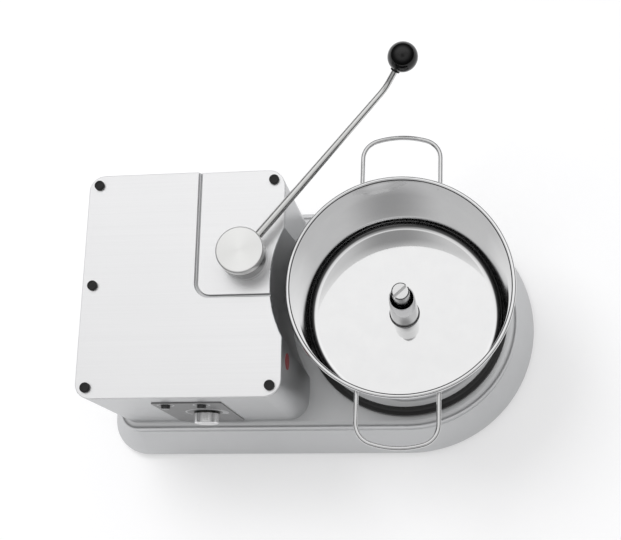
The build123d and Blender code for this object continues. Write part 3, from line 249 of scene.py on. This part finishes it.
rubber = Finish("moulded_rubber", (0.018, 0.018, 0.018), 0.62)
dust = rubber.noise(60, 4)
rubber.tint((0.013, 0.013, 0.013), (0.035, 0.035, 0.034), dust)
rubber.feed("Roughness", dust * 0.2 + 0.5)
rubber.relief(rubber.noise(1500, 2), 0.00005)
dress(rubber, "rubber_feet", "cover_gasket", "shaft_seal")

# ------------------------------------------------------------ box
# The box is a second aluminium casting, linished in long level strokes and bolted to the base
# from below; its right wall is hollowed to follow the bowl.
linished = Finish("linished_wall", (0.60, 0.605, 0.61), 0.34, metal=1.0)
stroke = linished.noise(1.0, 3, linished.stretched(12, 12, 1400))
linished.tint((0.47, 0.475, 0.48), (0.62, 0.625, 0.63), stroke)
linished.feed("Roughness", stroke * 0.14 + linished.noise(6, 2) * 0.06 + 0.26)
linished.relief(stroke, 0.00002)
dress(linished, "body_casting")

# ------------------------------------------------------------ covers
# Two stainless plates on a thin gasket, brushed along the machine before they were cut, so the
# fine grain runs the same way on both.
grained = Finish("brushed_plate", (0.80, 0.80, 0.80), 0.34, metal=0.92)
hair = grained.noise(1.0, 4, grained.stretched(9, 1800, 9))
long_hair = grained.noise(1.0, 2, grained.stretched(2, 420, 2))
grained.tint((0.785, 0.785, 0.79), (0.87, 0.87, 0.875), hair * 0.6 + long_hair * 0.4)
grained.feed("Roughness", hair * 0.16 + grained.noise(5, 2) * 0.06 + 0.26)
grained.relief(hair, 0.000012)
dress(grained, "main_cover", "lever_cover")


def lathe(name, outline, centre, finish, body, replaced=(), steps=128, crease=32, level_axis=False):
    """A round piece: a closed outline of (radius, height) in mm, turned about an upright axis.

    With level_axis the axis runs from back to front and heights count forwards from the centre.
    """
    def place(radius, level, angle):
        side, up = radius / 1000 * math.cos(angle), radius / 1000 * math.sin(angle)
        if level_axis:
            return (centre[0] + side, centre[1] - level / 1000, centre[2] + up)
        return (centre[0] + side, centre[1] + up, level / 1000)

    mesh = bpy.data.meshes.new(name)
    shape = bmesh.new()
    rings = []
    for radius, level in outline:
        if radius < 0.001:
            rings.append([shape.verts.new(place(0, level, 0))])
            continue
        rings.append([
            shape.verts.new(place(radius, level, 2 * math.pi * step / steps))
            for step in range(steps)
        ])
    closed = len(rings[0]) > 1 or len(rings[-1]) > 1
    last = len(rings) if closed and len(rings[0]) > 1 and len(rings[-1]) > 1 else len(rings) - 1
    for index in range(last):
        first, second = rings[index], rings[(index + 1) % len(rings)]
        for step in range(steps):
            corners = [first[step % len(first)], first[(step + 1) % len(first)],
                       second[(step + 1) % len(second)], second[step % len(second)]]
            corners = list(dict.fromkeys(corners))
            if len(corners) > 2:
                shape.faces.new(corners)
    bmesh.ops.recalc_face_normals(shape, faces=shape.faces)
    shape.to_mesh(mesh)
    shape.free()
    mesh.shade_smooth()
    mesh.set_sharp_from_angle(angle=math.radians(crease))
    piece = bpy.data.objects.new(name, mesh)
    bpy.context.collection.objects.link(piece)
    mesh.materials.append(finish.material)
    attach(piece, body)
    if replaced:
        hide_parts(*replaced)
    return piece


def arc(centre_r, centre_z, radius, start, end, steps=8):
    """Points of a rounded corner in an outline, from one angle to another in degrees."""
    return [
        (centre_r + radius * math.cos(math.radians(start + (end - start) * step / steps)),
         centre_z + radius * math.sin(math.radians(start + (end - start) * step / steps)))
        for step in range(steps + 1)
    ]


def middle(node):
    """Centre in plan of a round CAD piece."""
    low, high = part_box(node)
    return ((low[0] + high[0]) / 2, (low[1] + high[1]) / 2)


# ------------------------------------------------------------ bowl
# Deep-drawn stainless bowl, mirror polished inside and out, with a rolled bead at its mouth.
# The tube for the shaft is welded in its floor, and two bent wire handles on its wall.
bowl_centre = middle("bowl_shell")
floor_z, under_z, bead_z = 102, 100, 254
wall_foot_r, bead_line_r, bead_wire_r = 135.2, 143, 3
cove_r, sheet_t, middle_r = 12, 2, 20
# Heights in metres that bound the painted shade in the cove.
cove_shade_start, cove_shade_fade, cove_shade_end, cove_shade_back = 0.1024, 0.1034, 0.1135, 0.1115

# A dark band is painted into the colour of the cove round the floor: painted shade, as the cove's mirror
# sees little light there.
mirror = Finish("mirror_steel", (0.74, 0.74, 0.74), 0.04, metal=1.0)
polish = mirror.noise(40, 3)
level = mirror.node("ShaderNodeSeparateXYZ", None, [mirror.place], output=2)
cove_shade_low = mirror.node("ShaderNodeMapRange", soft_step, [level, cove_shade_start, cove_shade_fade])
cove_shade_high = mirror.node("ShaderNodeMapRange", soft_step, [level, cove_shade_end, cove_shade_back])
steel_drift = mirror.between((0.72, 0.72, 0.725, 1), (0.77, 0.77, 0.77, 1), polish)
# Painted shade: between those heights the mirror's colour is pulled down to near black.
painted_cove_shade = mirror.between(steel_drift, (0.10, 0.10, 0.10, 1), cove_shade_low * cove_shade_high)
mirror.feed("Base Color", painted_cove_shade)
mirror.feed("Roughness", mirror.noise(300, 2) * 0.03 + 0.03)
mirror.relief(mirror.noise(18, 2), 0.00004)

bowl_line = [(middle_r, floor_z)]
bowl_line += arc(wall_foot_r - cove_r, floor_z + cove_r, cove_r, -90, 0, 12)
bowl_line += [(136.4, 150), (138.2, 208), (139.6, 250)]
bowl_line += arc(bead_line_r, bead_z, bead_wire_r, 195, -75, 16)
bowl_line += [(142, 250.2), (140.6, 203), (139.0, 150)]
bowl_line += arc(wall_foot_r + 0.2 - cove_r, floor_z + cove_r, cove_r + sheet_t, 0, -90, 12)
bowl_line += [(middle_r, under_z)]
bowl = lathe("mirror_bowl", bowl_line, bowl_centre, mirror, "bowl", ("bowl_shell",), 192)

tube_line = [(18.35, under_z), (19.95, under_z), (19.95, floor_z), (17.2, 185.2), (16.9, 185.8),
             (16.4, 186), (15.9, 185.8), (15.6, 185.2), (18.35, floor_z)]
tube = lathe("bowl_centre_tube", tube_line, bowl_centre, mirror, "bowl", ("bowl_tube",), 96)
weld_line = [(19.7, 102.0), (21.4, 102.02), (21.0, 102.6), (20.2, 103.2), (19.6, 103.6)]
foot_weld = lathe("tube_weld", weld_line, bowl_centre, mirror, "bowl", (), 96)

wire_steel = Finish("polished_wire", (0.74, 0.74, 0.74), 0.12, metal=1.0)
drawn = wire_steel.noise(160, 3)
wire_steel.tint((0.58, 0.58, 0.58), (0.68, 0.68, 0.68), drawn)
wire_steel.feed("Roughness", drawn * 0.10 + 0.08)
dress(wire_steel, "bowl_handles", "bowl_peg_sockets")


def repeated(name, places, pattern, finish, body, spin=0.0, start=0.0):
    """Copies of a pattern object on a list of places, each turned a step further about level Y."""
    cloud = bpy.data.meshes.new(name + "_places")
    cloud.from_pydata([Vector(place) for place in places], [], [])
    holder = bpy.data.objects.new(name + "_places", cloud)
    bpy.context.collection.objects.link(holder)
    tree = bpy.data.node_groups.new(name, "GeometryNodeTree")
    for label, kind in (("Places", "NodeSocketGeometry"), ("Pattern", "NodeSocketObject"),
                        ("Finish", "NodeSocketMaterial"), ("Spin", "NodeSocketFloat"),
                        ("Start", "NodeSocketFloat")):
        tree.interface.new_socket(name=label, in_out="INPUT", socket_type=kind)
    tree.interface.new_socket(name="Copies", in_out="OUTPUT", socket_type="NodeSocketGeometry")
    graph = Graph(tree)
    given = tree.nodes.new("NodeGroupInput").outputs
    step = graph.node("GeometryNodeInputIndex") * Wire(graph, given["Spin"]) + Wire(graph, given["Start"])
    turn = graph.node("ShaderNodeCombineXYZ", None, {"Y": step})
    model = graph.node("GeometryNodeObjectInfo", None, {"Object": Wire(graph, given["Pattern"])})
    body_of = Wire(graph, model.socket.node.outputs["Geometry"])
    points = graph.node("GeometryNodeMeshToPoints", None, {"Mesh": Wire(graph, given["Places"])})
    copies = graph.node("GeometryNodeInstanceOnPoints", None, {
        "Points": points, "Instance": body_of, "Rotation": turn})
    solid = graph.node("GeometryNodeRealizeInstances", None, {"Geometry": copies})
    coated = graph.node("GeometryNodeSetMaterial", None, {
        "Geometry": solid, "Material": Wire(graph, given["Finish"])})
    tree.links.new(coated.socket, tree.nodes.new("NodeGroupOutput").inputs["Copies"])
    modifier = holder.modifiers.new(name, "NODES")
    modifier.node_group = tree
    keys = {item.name: item.identifier for item in tree.interface.items_tree if item.in_out == "INPUT"}
    modifier[keys["Pattern"]] = pattern
    modifier[keys["Finish"]] = finish.material
    modifier[keys["Spin"]] = spin
    modifier[keys["Start"]] = start
    shaped = holder.evaluated_get(bpy.context.evaluated_depsgraph_get())
    mesh = bpy.data.meshes.new_from_object(shaped)
    mesh.name = name
    for spare in (holder, pattern):
        bpy.data.objects.remove(spare)
    piece = bpy.data.objects.new(name, mesh)
    bpy.context.collection.objects.link(piece)
    mesh.shade_smooth()
    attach(piece, body)
    return piece


def pattern_of(name, points, faces):
    """An object that is only copied, never shown."""
    mesh = bpy.data.meshes.new(name)
    mesh.from_pydata(points, [], faces)
    piece = bpy.data.objects.new(name, mesh)
    bpy.context.collection.objects.link(piece)
    return piece


wire_low, wire_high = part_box("bowl_handles")
wire_z = (wire_low[2] + wire_high[2]) / 2
bead_steps, bead_sides, wire_r, bead_r = 32, 10, 0.0031, 0.0011
ripple, ripples = 0.12, 7
bead_points = []
for step in range(bead_steps):
    around = 2 * math.pi * step / bead_steps
    for side in range(bead_sides):
        tilt = 2 * math.pi * side / bead_sides
        radius = wire_r + bead_r * math.cos(tilt) * (1 + ripple * math.sin(ripples * around))
        width = 1.6 * bead_r * math.sin(tilt)
        bead_points.append((radius * math.cos(around), width, radius * math.sin(around)))
bead_faces = [
    (step * bead_sides + side, (step + 1) % bead_steps * bead_sides + side,
     (step + 1) % bead_steps * bead_sides + (side + 1) % bead_sides,
     step * bead_sides + (side + 1) % bead_sides)
    for step in range(bead_steps) for side in range(bead_sides)
]
leg_x, leg_y, bowl_turn = 0.051, 0.1325, math.radians(-1.8)
bead_places = [
    (bowl_centre[0] + sx * leg_x * math.cos(bowl_turn) - sy * leg_y * math.sin(bowl_turn),
     bowl_centre[1] + sx * leg_x * math.sin(bowl_turn) + sy * leg_y * math.cos(bowl_turn), wire_z)
    for sx in (-1, 1) for sy in (-1, 1)
]
bead = pattern_of("bead", bead_points, bead_faces)
repeated("handle_welds", bead_places, bead, wire_steel, "bowl")

# ------------------------------------------------------------ bowl seat
# A black moulded ring lies on the deck and carries the bowl's floor.  It runs round the two steel
# pegs that stop the bowl from turning.
seat = Finish("seat_rubber", (0.012, 0.012, 0.012), 0.4)
seat_dust = seat.noise(90, 3)
seat.tint((0.010, 0.010, 0.010), (0.024, 0.024, 0.024), seat_dust)
seat.feed("Roughness", seat_dust * 0.2 + 0.3)
seat.relief(seat.noise(1800, 2), 0.00003)
dress(seat, "bowl_seat_ring")

# ------------------------------------------------------------ knife shaft
# Ground stainless shaft that stands out of the bowl's tube, with a driving slot across its end.
# It turns in ball bearings below the deck.
ground = Finish("ground_steel", (0.66, 0.66, 0.66), 0.2, metal=1.0)
turning = ground.noise(1.0, 3, ground.stretched(30, 30, 3000))
ground.tint((0.60, 0.60, 0.60), (0.72, 0.72, 0.72), turning)
ground.feed("Roughness", turning * 0.16 + 0.12)
ground.relief(turning, 0.00001)
dress(ground, "drive_shaft", "motor_shaft", "bowl_pegs", "shaft_key", "knob_shaft")

# ------------------------------------------------------------ lever column
# Collar, hub and cap are turned from stainless bar.  The collar is screwed to its cover, and
# hub and cap turn together; the cap's face carries the fine circles of the lathe.
column_centre = middle("hub_cap")
turned = Finish("turned_steel_painted_shade", (0.70, 0.70, 0.70), 0.24, metal=1.0)
ringing = turned.noise(1.0, 3, turned.stretched(20, 20, 2600))
# Painted shade: collar and hub get a much darker colour than the cap of the same steel, for the shade on
# their upright sides.
turned.tint((0.32, 0.32, 0.32), (0.58, 0.58, 0.58), ringing)
turned.feed("Roughness", ringing * 0.16 + 0.16)
turned.relief(ringing, 0.00001)

faced = Finish("faced_steel", (0.78, 0.78, 0.77), 0.3, metal=1.0)
faced.surface.inputs["Anisotropic"].default_value = 0.75
offset = faced.node("ShaderNodeVectorMath", {"operation": "SUBTRACT"}, [faced.place, (*column_centre, 0)])
flat = faced.node("ShaderNodeVectorMath", {"operation": "MULTIPLY"}, [offset, (1, 1, 0)])
reach = faced.node("ShaderNodeVectorMath", {"operation": "LENGTH"}, [flat], output=1)
circle_pitch = {"W": reach * 2600, "Scale": 1.0, "Detail": 2.0}
circles = faced.node("ShaderNodeTexNoise", {"noise_dimensions": "1D"}, circle_pitch)
faced.tint((0.70, 0.70, 0.69), (0.84, 0.84, 0.83), circles)
faced.feed("Roughness", circles * 0.14 + 0.24)
faced.relief(circles, 0.00001)
dress(turned, "lever_hub", "lever_collar")
dress(faced, "hub_cap")

# ------------------------------------------------------------ lever
# A tapered steel rod, bent up at its end and held in the hub by a grub screw, with a glossy
# black ball knob screwed on.
rod_steel = Finish("rod_steel", (0.62, 0.62, 0.61), 0.22, metal=1.0)
length_grain = rod_steel.noise(1.0, 3, rod_steel.stretched(70, 60, 2200))
rod_steel.tint((0.55, 0.55, 0.54), (0.70, 0.70, 0.69), length_grain)
rod_steel.feed("Roughness", length_grain * 0.16 + 0.14)
dress(rod_steel, "lever_rod", "lever_spindle")

phenolic = Finish("black_phenolic", (0.003, 0.003, 0.003), 0.08, coat=0.2)
phenolic.surface.inputs["Specular IOR Level"].default_value = 0.3
smear = phenolic.noise(70, 3)
phenolic.tint((0.002, 0.002, 0.002), (0.005, 0.005, 0.005), smear)
phenolic.feed("Roughness", smear * 0.10 + 0.07)
dress(phenolic, "lever_ball")

# ------------------------------------------------------------ screw caps
# Black dished nylon caps snap over the heads of the cover screws.  The same nylon makes the cable
# gland, the switch bodies and the motor's fan.
nylon = Finish("black_nylon", (0.014, 0.014, 0.014), 0.35)
nylon.surface.inputs["Specular IOR Level"].default_value = 0.2
nylon_grain = nylon.noise(900, 3)
nylon.tint((0.010, 0.010, 0.010), (0.022, 0.022, 0.022), nylon.noise(200, 3))
nylon.feed("Roughness", nylon_grain * 0.2 + 0.28)
nylon.relief(nylon_grain, 0.00004)
dress(nylon, "screw_caps", "cable_gland", "gland_nut", "switch_blocks", "lid_switch", "motor_fan")

# ------------------------------------------------------------ control panel
# Grey printed plate on the front wall.  A silver knob stands in a printed dial that widens
# clockwise, with ticks round it, and each of the two buttons has a printed ring.  A black ring in
# the gap between the knob and the plate is painted shade.
plate_ink = Finish("panel_grey", (0.13, 0.13, 0.132), 0.42)
plate_ink.tint((0.21, 0.21, 0.212), (0.27, 0.27, 0.272), plate_ink.noise(30, 3))
plate_ink.relief(plate_ink.noise(1200, 2), 0.00004)
dress(plate_ink, "control_panel")

spun = Finish("spun_aluminium", (0.86, 0.86, 0.86), 0.3, metal=0.85)
spun_grain = spun.noise(1.0, 3, spun.stretched(30, 2600, 30))
spun.tint((0.80, 0.80, 0.80), (0.92, 0.92, 0.92), spun_grain)
spun.feed("Roughness", spun_grain * 0.16 + 0.22)
dress(spun, "speed_knob")

moulded = Finish("dark_button", (0.03, 0.03, 0.031), 0.25, coat=0.4)
moulded.tint((0.022, 0.022, 0.023), (0.045, 0.045, 0.046), moulded.noise(160, 3))
dress(moulded, "start_button", "stop_button")

red = Finish("marker_red", (0.34, 0.012, 0.014), 0.4)
red.tint((0.24, 0.020, 0.026), (0.32, 0.030, 0.036), red.noise(160, 3))
dress(red, "red_marker")

ink = Finish("white_print", (0.62, 0.62, 0.62), 0.5)
ink.tint((0.56, 0.56, 0.565), (0.68, 0.68, 0.685), ink.noise(400, 3))
panel_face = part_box("control_panel")[0][1]
ink_thick = 0.06
knob_low, knob_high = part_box("speed_knob")
knob_axis = ((knob_low[0] + knob_high[0]) / 2, panel_face, (knob_low[2] + knob_high[2]) / 2)
# Painted shade: a black ring fills the gap between the knob and the plate, where shadow falls.
gap_shade_ring = [(16.2, 0.4), (17.4, 0.4), (17.6, 0.7), (17.4, 2.4), (16.9, 2.8), (16.2, 2.8)]
knob_foot = lathe("knob_foot", gap_shade_ring, knob_axis, phenolic, "knob", (), 96, level_axis=True)
for button in ("start_button", "stop_button"):
    low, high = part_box(button)
    axis = ((low[0] + high[0]) / 2, panel_face, (low[2] + high[2]) / 2)
    mark = lathe(button + "_ring", [(9.2, 0), (11.4, 0), (11.4, ink_thick), (9.2, ink_thick)],
                 axis, ink, "base", (), 72, level_axis=True)

dial_r, dial_steps = 29.0, 60
dial_start, dial_sweep = 215, 250
dial_thin, dial_growth = 1.2, 7.5
dial = bpy.data.meshes.new("speed_dial")
dial_shape = bmesh.new()
rows = []
for step in range(dial_steps + 1):
    share = step / dial_steps
    angle = math.radians(dial_start - dial_sweep * share)
    inner_r = dial_r - dial_thin - dial_growth * share
    rows.append([
        dial_shape.verts.new((
            knob_axis[0] + radius / 1000 * math.cos(angle),
            panel_face - forward / 1000,
            knob_axis[2] + radius / 1000 * math.sin(angle),
        ))
        for radius, forward in ((inner_r, 0), (dial_r, 0), (dial_r, ink_thick), (inner_r, ink_thick))
    ])
for first, second in zip(rows, rows[1:]):
    for corner in range(4):
        after = (corner + 1) % 4
        dial_shape.faces.new((first[corner], first[after], second[after], second[corner]))
dial_shape.faces.new(rows[0])
dial_shape.faces.new(rows[-1][::-1])
bmesh.ops.recalc_face_normals(dial_shape, faces=dial_shape.faces)
dial_shape.to_mesh(dial)
dial_shape.free()
dial.materials.append(ink.material)
dial_piece = bpy.data.objects.new("speed_dial", dial)
bpy.context.collection.objects.link(dial_piece)
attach(dial_piece, "base")

tick_in, tick_out, tick_half, ticks = 0.0300, 0.0325, 0.0005, 11
tick_points = [
    (side, forward, reach)
    for forward in (0.0, -ink_thick / 1000) for side, reach in
    ((-tick_half, tick_in), (tick_half, tick_in), (tick_half, tick_out), (-tick_half, tick_out))
]
tick_faces = [(0, 1, 2, 3), (7, 6, 5, 4), (0, 4, 5, 1), (1, 5, 6, 2), (2, 6, 7, 3), (3, 7, 4, 0)]
tick_spin, tick_start = math.radians(25), math.radians(-125)
tick = pattern_of("tick", tick_points, tick_faces)
repeated("dial_ticks", [knob_axis] * ticks, tick, ink, "base", tick_spin, tick_start)

# ------------------------------------------------------------ fasteners and inner works
# Zinc-plated screws, bronze bush, bare iron and plain steel: none of it is polished, and most of it
# is out of sight inside the machine.
zinc = Finish("zinc_plate", (0.58, 0.58, 0.57), 0.34, metal=1.0)
bloom = zinc.noise(220, 4)
zinc.tint((0.50, 0.50, 0.49), (0.66, 0.66, 0.65), bloom)
zinc.feed("Roughness", bloom * 0.2 + 0.26)
dress(zinc, "pan_screws", "foot_screws", "body_bolts", "cover_screws", "flange_bolts", "collar_screws",
      "rod_grub_screw", "spindle_nut", "pulley_nut", "potentiometer", "switch_bracket")

milled = Finish("milled_steel", (0.52, 0.52, 0.53), 0.32, metal=1.0)
cutter = milled.noise(1.0, 3, milled.stretched(40, 900, 40))
milled.tint((0.46, 0.46, 0.47), (0.60, 0.60, 0.61), cutter)
milled.feed("Roughness", cutter * 0.2 + 0.24)
dress(milled, "motor_pulley", "driven_pulley", "bearing_housing", "motor_flange", "switch_cam",
      "shaft_bearings", "motor_bearings", "motor_rotor", "motor_housing", "speed_drive")

bronze = Finish("bearing_bronze", (0.60, 0.38, 0.17), 0.34, metal=1.0)
bronze.tint((0.52, 0.32, 0.14), (0.68, 0.44, 0.20), bronze.noise(260, 4))
dress(bronze, "spindle_bush")

iron = Finish("stator_iron", (0.10, 0.10, 0.10), 0.5, metal=0.6)
sheets = iron.noise(1.0, 2, iron.stretched(8, 8, 2000))
iron.tint((0.06, 0.06, 0.06), (0.16, 0.16, 0.16), sheets)
iron.relief(sheets, 0.00005)
dress(iron, "motor_stator")

belt_rubber = Finish("belt_rubber", (0.02, 0.02, 0.02), 0.6)
weave = belt_rubber.noise(1.0, 2, belt_rubber.stretched(500, 500, 1600))
belt_rubber.tint((0.012, 0.012, 0.012), (0.04, 0.04, 0.04), weave)
belt_rubber.relief(weave, 0.00008)
dress(belt_rubber, "drive_belt")

laminate = Finish("board_laminate", (0.02, 0.12, 0.05), 0.35)
laminate.tint((0.015, 0.10, 0.04), (0.03, 0.16, 0.07), laminate.noise(300, 3))
dress(laminate, "control_board")
